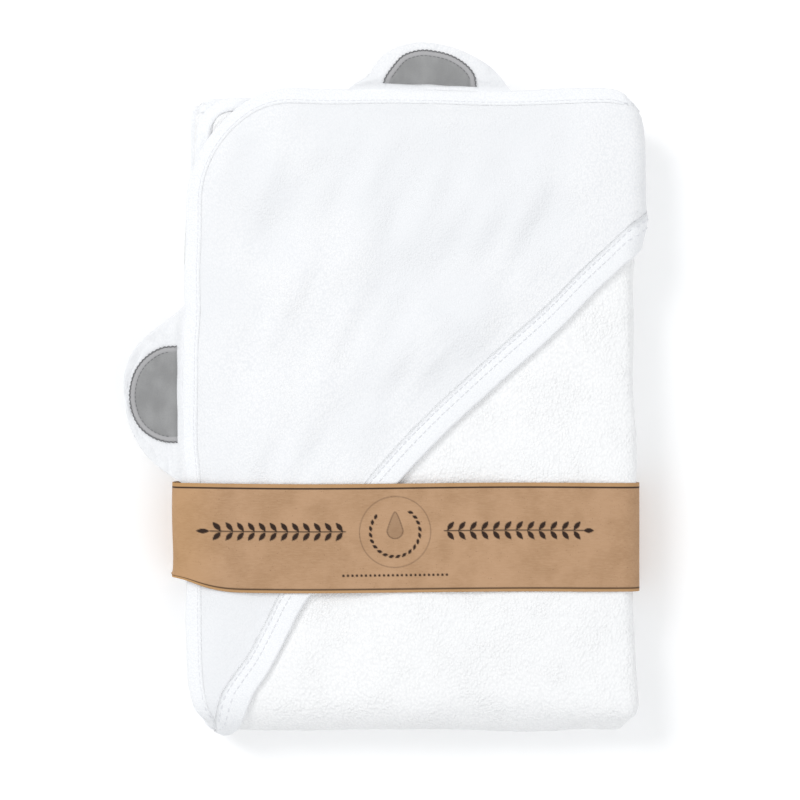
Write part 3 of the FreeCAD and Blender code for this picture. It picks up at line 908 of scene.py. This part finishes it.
TOP_PATCH = [(-13.4, 153.2), (-12.4, 156.0), (-9.4, 160.4), (-4.4, 166.0), (2.8, 168.6),
             (9.4, 168.5), (17.8, 166.5), (25.0, 162.2), (29.2, 157.0), (30.2, 151.6)]
EAR_LEVEL = 35.3
EAR_SEAM = 0.5
EAR_PAD = 2.4
EAR_ROUND = 9.0
EAR_GRID = (74, 22)
PUCKER = (0.30, 7.5, 6.0)    # size, length, reach from the seam
HELD = 0.12
PUFF_FRAMES = 20
PUFF_LIMIT = 2.6
PUFF_SETTINGS = {"quality": 8, "mass": 0.15, "tension_stiffness": 6.0, "compression_stiffness": 6.0,
                 "shear_stiffness": 2.0, "bending_stiffness": 0.05, "air_damping": 2.0,
                 "use_pressure": True, "uniform_pressure_force": 4.0}
WELD_GAP = 0.03
RAY_START = 80.0
RIM_WIDTH = 2.7
PATCH_GRID = (110, 34)
PATCH_THICK = 0.70
PATCH_PADDING = 0.35
PATCH_LIFT = 0.12
GROOVE = 0.38
SETTLE_ROUNDS = 12
SETTLE_DEPTH = 0.25
ZIGZAG = (0.42, -0.12)
# Each row of grey stitches: height over the ear, width, share of the way to the next stitch.
EDGE_SEWING = (0.75, 0.62, 1.15)
QUILT_SEWING = (0.55, 0.36, 0.72)


# out points away from the packet. The edge tape holds the ear up to the first tuck distance and
# lets it go at the second. droop is where it starts to hang, and how much. bend is its seam's sides.
Ear = namedtuple("Ear", "side outline patch out tuck droop bend seed")
EARS = [
    Ear("left", LEFT_EAR, LEFT_PATCH, np.array((-1.0, 0.0)), (107.4, 113.0), (108.0, 0.0016),
        ((-106.6, 7.5, 35.4), (-111.0, 7.5, 35.4)), 31),
    Ear("top", TOP_EAR, TOP_PATCH, np.array((0.0, 1.0)), (150.6, 156.0), (152.0, 0.003),
        ((7.5, 151.2, 35.4), (7.5, 155.8, 35.4)), 32),
]


def released(ear, spots):
    """0 where the tape holds the ear, 1 where it is free."""
    return smooth(spots @ ear.out, *ear.tuck)


def chord_and_arc(outline, step, count):
    """An ear's straight base, its curved outline with as many points, and their shares."""
    curve, _ = smooth_line(outline, step)
    marks = np.linspace(0, len(curve) - 1, count)
    arc = np.stack([np.interp(marks, np.arange(len(curve)), curve[:, k]) for k in range(2)], -1)
    share = np.linspace(0, 1, count)[:, None]
    return arc[0] * (1 - share) + arc[-1] * share, arc, share


def fan(chord, arc, rows):
    """Points from a chord (row 0) out to its arc (last row)."""
    reach = np.sin(np.linspace(0, math.pi / 2, rows))[:, None, None]
    return chord * (1 - reach) + arc * reach


def raised(grid, heights):
    return np.concatenate([grid, heights[..., None]], -1)


def distance_to(points, curve):
    tree = KDTree(len(curve))
    for index, spot in enumerate(curve):
        tree.insert((spot[0], spot[1], 0.0), index)
    tree.balance()
    flat = points.reshape(-1, 2)
    return np.array([tree.find((p[0], p[1], 0.0))[2] for p in flat]).reshape(points.shape[:-1])


def inflate(item, pinned):
    """Puffs a closed sewn shape with a short cloth simulation, held where it is pinned."""
    group = item.vertex_groups.new(name="sewn_down")
    group.add([int(index) for index in np.flatnonzero(pinned)], 1.0, "REPLACE")
    before = np.array([v.co[:] for v in item.data.vertices])
    cloth = item.modifiers.new("puff", "CLOTH")
    for key, value in PUFF_SETTINGS.items():
        setattr(cloth.settings, key, value)
    cloth.settings.effector_weights.gravity = 0
    cloth.settings.vertex_group_mass = group.name
    cloth.collision_settings.use_collision = False
    scene = bpy.context.scene
    for number in range(1, PUFF_FRAMES + 1):
        scene.frame_set(number)
    graph = bpy.context.evaluated_depsgraph_get()
    after = np.array([v.co[:] for v in item.evaluated_get(graph).data.vertices])
    item.modifiers.remove(cloth)
    scene.frame_set(1)
    moved = after - before
    size = np.linalg.norm(moved, axis=1, keepdims=True)
    moved *= np.minimum(1.0, PUFF_LIMIT * MM / np.maximum(size, 1e-9))
    item.data.vertices.foreach_set("co", (before + moved).ravel())
    item.data.update()


def build_ear(ear):
    """A padded ear sewn into the edge tape, with its grey patch and their stitches."""
    chord, arc, _ = chord_and_arc(ear.outline, 1.0, EAR_GRID[0])
    grid = fan(chord, arc, EAR_GRID[1])
    to_seam = distance_to(grid, arc)
    free = released(ear, grid)
    start, amount = ear.droop
    level = EAR_LEVEL - amount * np.clip(grid @ ear.out - start, 0, None) ** 2
    full = 1 - (1 - np.clip(to_seam / EAR_ROUND, 0, 1)) ** 2
    half = EAR_SEAM + (EAR_PAD - EAR_SEAM) * np.sqrt(full) * free
    spots = raised(grid, np.zeros(grid.shape[:2]))
    size, length, reach = PUCKER
    puckers = size * waves(spots, length, ear.seed) * np.exp(-(to_seam / reach) ** 2)
    top = raised(grid, level + half + puckers * free)
    bottom = raised(grid, level - half + puckers * free)
    shell = cloth_sheet(f"ear_{ear.side}_shell", top[:, ::-1], bottom[:, ::-1])
    weld(shell)
    spots = np.array([v.co[:2] for v in shell.data.vertices]) / MM
    inflate(shell, released(ear, spots) < HELD)
    round_off(shell)
    dress(shell, HOOD_TERRY, "terry", None, f"ear_{ear.side}_front", f"ear_{ear.side}_back")
    patch, arc, inward = build_patch(ear, shell)
    stitches = sew_patch(ear, shell, arc, inward)
    for piece in [shell, patch] + stitches:
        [Vector(spot) * MM for spot in ear.bend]
        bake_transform(piece)


def weld(item):
    """Joins points that lie on one another, where a grid narrows to a point."""
    work = bmesh.new()
    work.from_mesh(item.data)
    bmesh.ops.remove_doubles(work, verts=work.verts[:], dist=WELD_GAP * MM)
    bmesh.ops.dissolve_degenerate(work, edges=work.edges[:], dist=WELD_GAP * MM / 4)
    work.to_mesh(item.data)
    work.free()
    item.data.update()


def round_off(item):
    """Splits every face once and rounds the result."""
    modifier = item.modifiers.new("round", "SUBSURF")
    modifier.levels = 1
    modifier.render_levels = 1
    graph = bpy.context.evaluated_depsgraph_get()
    graph.update()
    mesh = bpy.data.meshes.new_from_object(item.evaluated_get(graph))
    item.modifiers.remove(modifier)
    item.data = mesh
    mesh.shade_smooth()


def heights_over(item, points):
    """Heights of an object's upper face at flat points."""
    graph = bpy.context.evaluated_depsgraph_get()
    graph.update()
    found = []
    for x, y in points.reshape(-1, 2):
        above = Vector((x, y, RAY_START)) * MM
        hit, spot, _, _ = item.ray_cast(above, Vector((0, 0, -1)), depsgraph=graph)
        found.append(spot[2] / MM if hit else np.nan)
    found = np.array(found)
    found[np.isnan(found)] = np.nanmin(found)
    return found.reshape(points.shape[:-1])


def settle(ground):
    """The ground as the patch feels it: smoothed, but never more than SETTLE_DEPTH under it."""
    level = ground
    for _ in range(SETTLE_ROUNDS):
        near = np.pad(level, 1, mode="edge")
        around = near[:-2, 1:-1] + near[2:, 1:-1] + near[1:-1, :-2] + near[1:-1, 2:]
        level = np.maximum((around + 2 * level) / 6, ground - SETTLE_DEPTH)
    return level


def build_patch(ear, shell):
    """The grey inner ear: a turned-in rim along its curve and a plain edge at the tape. Returns the
    patch, its curve and the way in from the curve."""
    chord, arc, share = chord_and_arc(ear.patch, 0.7, PATCH_GRID[0])
    wobble = 0.22 * waves(chord, 16.0, ear.seed + 7)[:, None] * np.sin(math.pi * share)
    chord = chord + wobble * np.abs(ear.out)
    grid = fan(chord, arc, PATCH_GRID[1])
    border = resample(np.vstack([arc, chord[::-1]]), 0.35, closed=True)[0]
    from_border = distance_to(grid, border)
    from_curve = distance_to(grid, resample(arc, 0.35)[0])
    rise = PATCH_LIFT + PATCH_THICK * smooth(from_border, -0.2, 1.0)
    rise = rise - GROOVE * bump(from_curve, RIM_WIDTH, 0.5)
    padding = smooth(from_curve, RIM_WIDTH, RIM_WIDTH + 5.0) * smooth(from_border, 0.0, 3.0)
    rise = rise + PATCH_PADDING * padding
    ground = settle(heights_over(shell, grid))
    top = raised(grid, ground + rise)
    bottom = raised(grid, ground + 0.03)
    patch = cloth_sheet(f"ear_{ear.side}_patch", top[:, ::-1], bottom[:, ::-1])
    rim = 1 - smooth(from_curve[:, ::-1], RIM_WIDTH - 0.5, RIM_WIDTH + 0.2)
    mark_points(patch, "rim", np.tile(rim.ravel(), 2))
    weld(patch)
    dress(patch, VELOUR, "inner_ear", None, f"ear_{ear.side}_inner")
    even, tangent = resample(arc, 1.0)
    inward = turned(tangent)
    if np.mean(np.sum(inward * (border.mean(axis=0) - even), axis=1)) < 0:
        inward = -inward
    return patch, even, inward


def sew_patch(ear, shell, curve, inward):
    """A close zigzag over the patch's curved edge, and a quilted line along the rim's inside."""
    swing = np.where(np.arange(len(curve)) % 2, *ZIGZAG)
    zigzag = curve + inward * swing[:, None]
    quilting = resample((curve + inward * RIM_WIDTH)[4:-4], 2.0)[0]
    return [sew_flat(ear, "edge", zigzag, shell, *EDGE_SEWING),
            sew_flat(ear, "quilt", quilting, shell, *QUILT_SEWING)]


def sew_flat(ear, kind, line, ground, lift, width, cover):
    """Grey stitches along a line on an ear; cover is a stitch's share of the way to the next."""
    points = raised(line, heights_over(ground, line) + lift)
    gap = points[1:] - points[:-1]
    length = np.linalg.norm(gap, axis=1)
    ups = np.tile([0.0, 0.0, 1.0], (len(gap), 1))
    thread = stitch_mesh(f"ear_{ear.side}_{kind}_stitches", points[:-1] + gap * 0.5, unit(gap), ups,
                         float(np.median(length)) * cover, width, width * 0.8)
    return dress(thread, GREY_THREAD, "grey_thread", None, f"ear_{ear.side}_inner_thread")


# ---- the paper band

PAPER = 0.3
BAND_AIR = 0.22
FRAME_LINE = 0.36
FRAME_INSET_TOP = 2.1
FRAME_INSET_BOTTOM = 1.6
BAND_COUNT = 1260
BAND_COLUMNS = 132
BAND_STATIONS = 9
BAND_ROUNDINGS = 60
BAND_LEFT = (84.0, 106.0)
BAND_BULGE = 6.0
# The crumpled lower left corner: place and reach along X, reach across, how far it is drawn in.
CRUMPLE = (-108.0, 13.0)
CRUMPLE_ACROSS = 9.0
CRUMPLE_DRAW = 7.0
OFF_FLOOR = (1.2, 4.0)
PRINT_MIDDLE = (-7.9, 2.9)
PRINT_RADIUS = 16.6
WREATH_RADIUS = 12.2
SPRIGS = ((-31.0, -93.0), (15.0, 80.0))
SPRIG_LEVEL = 3.2
SPRIG_PAIRS = 12
DOTS = np.arange(-32.0, 16.5, 2.1)
DOT_LEVEL = -17.4
DOT_RADIUS = 0.6


def convex_outline(points):
    """The taut outline round flat points, counter-clockwise: the furthest one in each direction."""
    angles = np.linspace(0, 2 * math.pi, 361)[:-1]
    chosen = [int(np.argmax(points @ np.array([math.cos(a), math.sin(a)]))) for a in angles]
    kept = [index for k, index in enumerate(chosen) if index != chosen[k - 1]]
    return points[kept]


def band_outline(cloud, reach):
    """The packet's taut outline over all that a place on the band passes as it slides off."""
    hull = convex_outline(cloud[cloud[:, 1] < reach][:, [0, 2]])
    hull = hull[hull[:, 1] > PAPER + 0.4]
    floor = 2 * PAPER + 0.3
    left, right = hull[:, 0].min() + 6.0, hull[:, 0].max() - 6.0
    return convex_outline(np.vstack([hull, [[left, floor], [right, floor]]]))


def soft_loop(loop):
    """The loop from the middle of its underside, sampled evenly, its corners smoothed round."""
    length = np.linalg.norm(np.roll(loop, -1, axis=0) - loop, axis=1).sum()
    even = resample(loop, length / BAND_COUNT, closed=True)[0][:BAND_COUNT]
    for _ in range(BAND_ROUNDINGS):
        even = 0.5 * even + 0.25 * (np.roll(even, 1, axis=0) + np.roll(even, -1, axis=0))
    low = even[:, 1] < even[:, 1].min() + 1.0
    start = np.flatnonzero(low)[np.argmin(np.abs(even[low, 0]))]
    return np.roll(even, -start, axis=0)


class Ink:
    """How strongly each place of the band is printed; x runs along it, y across from its middle."""

    def __init__(self, x, y):
        self.x = x
        self.y = y
        self.value = np.zeros(x.shape)

    def fill(self, inside, tone=1.0):
        """inside is how many millimetres a place lies within the shape."""
        self.value = np.maximum(self.value, tone * smooth(inside, -0.16, 0.16))

    def line(self, a, b, width):
        length = math.hypot(b[0] - a[0], b[1] - a[1])
        along = ((self.x - a[0]) * (b[0] - a[0]) + (self.y - a[1]) * (b[1] - a[1])) / length ** 2
        share = np.clip(along, 0, 1)
        gap = np.hypot(self.x - a[0] - share * (b[0] - a[0]), self.y - a[1] - share * (b[1] - a[1]))
        self.fill(width / 2 - gap)

    def ring(self, centre, radius, width, tone):
        gap = np.abs(np.hypot(self.x - centre[0], self.y - centre[1]) - radius)
        self.fill(width / 2 - gap, tone)

    def leaf(self, base, angle, length, breadth):
        """A pointed leaf."""
        dx, dy = self.x - base[0], self.y - base[1]
        along = dx * math.cos(angle) + dy * math.sin(angle)
        side = np.abs(-dx * math.sin(angle) + dy * math.cos(angle))
        inside = breadth / 2 * np.sin(math.pi * np.clip(along / length, 0, 1)) - side
        self.fill(np.where((along > 0) & (along < length), inside, -1))

    def drop(self, centre, radius, tone):
        """A plain water drop with a paler inside."""
        dx, dy = self.x - centre[0], self.y - centre[1]
        taper = np.clip(1 - dy / (radius * 2.4), 0, 1)
        inside = np.where(dy > 0, radius * taper ** 0.7 - np.abs(dx), radius - np.hypot(dx, dy))
        inside = np.where(dy > radius * 2.4, -1, inside)
        self.fill(inside, tone * 0.4)
        self.fill(0.3 - np.abs(inside), tone)


def print_sprig(ink, start, finish):
    """A generic leaf sprig: a thin stem with pairs of leaves."""
    way = 1 if finish > start else -1
    heading = 0.0 if way > 0 else math.pi
    ink.line((start, SPRIG_LEVEL), (finish, SPRIG_LEVEL), 0.5)
    for share in np.linspace(0.02, 0.93, SPRIG_PAIRS):
        base = start + (finish - start) * share
        for lean in (1, -1):
            ink.leaf((base, SPRIG_LEVEL + 0.15 * lean), heading + lean * way * 0.9, 5.3, 2.3)
    ink.leaf((finish, SPRIG_LEVEL), heading, 5.2, 2.3)


def printed(x, y, on_top):
    """Frame lines all round; on top two sprigs, a ring with a drop in a leaf wreath, and dots."""
    ink = Ink(x, y)
    ink.fill(FRAME_LINE - np.abs(y - (BAND_HALF - FRAME_INSET_TOP)))
    ink.fill(FRAME_LINE - np.abs(y + (BAND_HALF - FRAME_INSET_BOTTOM)))
    shape = Ink(x, y)
    cx, cy = PRINT_MIDDLE
    shape.ring(PRINT_MIDDLE, PRINT_RADIUS, 0.5, 0.4)
    shape.drop((cx, cy + 0.6), 3.7, 0.6)
    for degrees in range(135, 406, 15):
        turn = math.radians(degrees)
        spot = (cx + WREATH_RADIUS * math.cos(turn), cy + WREATH_RADIUS * math.sin(turn))
        shape.leaf(spot, turn + math.pi / 2 + 0.5, 3.0, 1.5)
    for start, finish in SPRIGS:
        print_sprig(shape, start, finish)
    for dot in DOTS:
        shape.fill(DOT_RADIUS - np.hypot(x - dot, y - DOT_LEVEL))
    return np.maximum(ink.value, np.where(on_top, shape.value, 0))


def band_surface(wrapped, width):
    """The band's inner face before it is loosened: (places round, places across, x and z)."""
    cloud = np.concatenate([np.array([item.matrix_world @ v.co for v in item.data.vertices]) / MM
                            for item in wrapped])
    stations = np.linspace(-BAND_HALF, BAND_HALF, BAND_STATIONS)
    loops = np.stack([soft_loop(band_outline(cloud, BAND_MIDDLE + station + 3.0))
                      for station in stations], axis=1)
    spot = (width + BAND_HALF) / (2 * BAND_HALF) * (BAND_STATIONS - 1)
    low = np.clip(np.floor(spot).astype(int), 0, BAND_STATIONS - 2)
    share = (spot - low)[None, :, None]
    return loops[:, low] * (1 - share) + loops[:, low + 1] * share


def band_sheets(x, y, z, outward):
    """The paper's inner and outer faces: loose over the packet, bulging at the left fold, crumpled
    at the lower left corner, and flat underneath."""
    leftmost = smooth(-x, *BAND_LEFT)
    rounded = np.sqrt(np.clip(1 - ((z - z.max() / 2) / z.max() * 2) ** 2, 0, 1))
    bulge = BAND_BULGE * leftmost * rounded * (1 + 0.05 * np.sin(y / 9.0))
    spots = join(x, y, z)
    free = smooth(z, 6.0, 16.0) * (1 - 0.8 * smooth(x, 80.0, 100.0))
    loose = 0.05 + 0.20 * (waves(spots, 46.0, 41, 10) + 1.2) * free
    corner = bump(x, *CRUMPLE) * bump(y, -BAND_HALF - 1.0, CRUMPLE_ACROSS)
    crumple = np.maximum(corner * (0.5 + 0.6 * waves(spots, 14.0, 42, 8)), 0)
    off_floor = smooth(z, *OFF_FLOOR)
    edge_lift = 0.6 * smooth(-x, 96.0, 106.0) * bump(y, -BAND_HALF, 7.0) * off_floor
    shorten = CRUMPLE_DRAW * corner * smooth(-y, BAND_HALF - 13.0, BAND_HALF)
    along = BAND_MIDDLE + y + shorten + 0.35 * np.sin(x / 31.0) * off_floor
    for thickness in (0.0, PAPER):
        offset = (BAND_AIR + loose + crumple) * off_floor + thickness
        height = np.maximum(z + outward[..., 1] * offset + edge_lift, 0.12 + PAPER - thickness)
        yield join(x + outward[..., 0] * offset - bulge, along, height)


def band_faces(rows, columns):
    """Both faces of the paper loop and its two cut edges."""
    number = rows * columns
    faces = grid_faces(rows, columns, wrap_rows=True, flip=True)
    faces += grid_faces(rows, columns, start=number, wrap_rows=True)
    for column, flip in ((0, False), (columns - 1, True)):
        for row in range(rows):
            here, after = row * columns + column, (row + 1) % rows * columns + column
            face = [here, after, after + number, here + number]
            faces.append(face if flip else face[::-1])
    return faces


def build_band(wrapped):
    width = np.linspace(-BAND_HALF, BAND_HALF, BAND_COLUMNS)
    inner = band_surface(wrapped, width)
    x, z = inner[..., 0], inner[..., 1]
    y = np.broadcast_to(width, x.shape)
    tangent = np.roll(inner, -1, axis=0) - np.roll(inner, 1, axis=0)
    outward = unit(-turned(tangent))
    points = np.concatenate([sheet.reshape(-1, 3) for sheet in band_sheets(x, y, z, outward)])
    band = make_mesh("belly_band_paper", points, band_faces(*x.shape))
    ink = printed(x, y, outward[..., 1] > 0.6)
    edge = smooth(np.abs(y), BAND_HALF - 2.2, BAND_HALF - 1.2) + 0.6 * smooth(-x, *BAND_LEFT)
    for name, outside in (("ink", ink), ("tint", edge)):
        mark_points(band, name, np.concatenate([np.zeros(x.size), outside.ravel()]))
    dress(band, KRAFT, "kraft", "band", "belly_band")


def build_glue():
    """A thin bead of glue under the band's lap."""
    low, high = cad_box("belly_band_glue")
    across = np.linspace(low[0], high[0], 9)
    along = np.linspace(low[1], high[1], 33)
    x, y = np.meshgrid(across, along[::-1])
    fade = np.clip(1 - (np.abs(x) / high[0]) ** 4, 0, 1)
    spots = join(x, y)
    top = join(x, y, high[2] + 0.10 * fade + 0.02 * waves(spots, 6.0, 51))
    bottom = join(x, y, np.full(x.shape, low[2] + 0.01))
    glue = cloth_sheet("belly_band_glue_bead", top, bottom)
    dress(glue, glue_material(), "glue", "band", "belly_band_glue")


# ---- the care label

LABEL_OUT = 0.55
LABEL_THICK = 0.28
LABEL_STITCH_OUT = 0.45
LABEL_STITCH_DOWN = 2.0
LABEL_STITCH = (2.1, 0.45, 0.35)


def build_label():
    """A blank satin label sewn into the left edge and hanging down the side."""
    low, high = cad_box("care_label")
    down, y = np.meshgrid(np.linspace(0, 1, 30), np.linspace(high[1], low[1], 34))
    z = high[2] - down * (high[2] - low[2])
    curl = 1.1 * np.sin(down * math.pi * 0.9) + 0.25 * waves(join(y, z), 20.0, 61)
    x = low[0] + LABEL_OUT + 0.5 * curl * smooth(down, 0.5, 0.8)
    front = soften(join(x, y, z))
    back = soften(join(x + LABEL_THICK, y, z))
    label = cloth_sheet("care_label_satin", front, back)
    dress(label, satin_material(), "label", "label", "care_label")
    stitch_y = np.arange(low[1] + 1.6, high[1] - 1.0, STITCH_PITCH)
    stitch_x = np.full(stitch_y.shape, low[0] + LABEL_STITCH_OUT)
    spots = join(stitch_x, stitch_y, np.full(stitch_y.shape, high[2] - LABEL_STITCH_DOWN))
    along = np.tile([0.0, 1.0, 0.0], (len(spots), 1))
    outward = np.tile([-1.0, 0.0, 0.0], (len(spots), 1))
    thread = stitch_mesh("care_label_stitches", soften(spots), along, outward, *LABEL_STITCH)
    dress(thread, THREAD, "thread", "label", "care_label_thread")


# ---- floor, light and camera

AIM = Vector((-5.6, 4.7, 37.0)) * MM
CAMERA_AWAY = 1.2
PICTURE_WIDTH = 0.3752
SENSOR = 36.0
HORIZON = (0.50, 0.51, 0.525)
ZENITH = (0.97, 0.985, 1.0)
BACKDROP = (1.05, 1.05, 1.05)
SKY_STRENGTH = 0.86


def build_stage():
    bpy.ops.mesh.primitive_plane_add(size=30.0, location=(0, 0, 0))
    floor = bpy.context.object
    floor.name = "studio_floor"
    floor.data.materials.append(floor_material())


def area_light(name, spot, size, power):
    """A soft round light in metres, aimed at the packet."""
    data = bpy.data.lights.new(name, "AREA")
    data.shape = "DISK"
    data.size = size
    data.energy = power
    light = add_object(name, data)
    light.location = spot
    light.rotation_euler = (-Vector(spot)).to_track_quat("-Z", "Y").to_euler()


def build_light():
    """A soft overhead sky with a gentle key light from the upper left."""
    area_light("key", (-1.9, 1.7, 2.8), 1.6, 46.0)
    area_light("fill", (1.4, -1.0, 2.8), 2.0, 14.0)
    world = bpy.data.worlds.new("studio")
    sky = Nodes(world, "Background")
    direction = sky.add("ShaderNodeTexCoord").outputs["Generated"]
    upward = sky.add("ShaderNodeSeparateXYZ", Vector=direction).outputs["Z"]
    ramp = sky.add("ShaderNodeValToRGB", Fac=upward)
    low, high = ramp.color_ramp.elements
    low.color = opaque(HORIZON)
    high.color = opaque(ZENITH)
    high.position = 0.9
    to_camera = sky.add("ShaderNodeLightPath").outputs["Is Camera Ray"]
    sky.feed(sky.main.inputs["Color"], sky.blend(to_camera, ramp.outputs[0], BACKDROP))
    sky.feed(sky.main.inputs["Strength"], SKY_STRENGTH)
    bpy.context.scene.world = world
    bpy.context.scene.view_settings.view_transform = "Standard"


def build_camera():
    data = bpy.data.cameras.new("camera")
    data.sensor_width = SENSOR
    data.lens = SENSOR * CAMERA_AWAY / PICTURE_WIDTH
    camera = add_object("camera", data)
    camera.location = AIM + Vector((0, 0, CAMERA_AWAY))
    bpy.context.scene.camera = camera


wrapped = [build_towel(), build_hood(), build_edge_tape(), build_hem_tape()]
for ear in EARS:
    build_ear(ear)
build_band(wrapped)
build_glue()
build_label()
build_stage()
build_light()
build_camera()
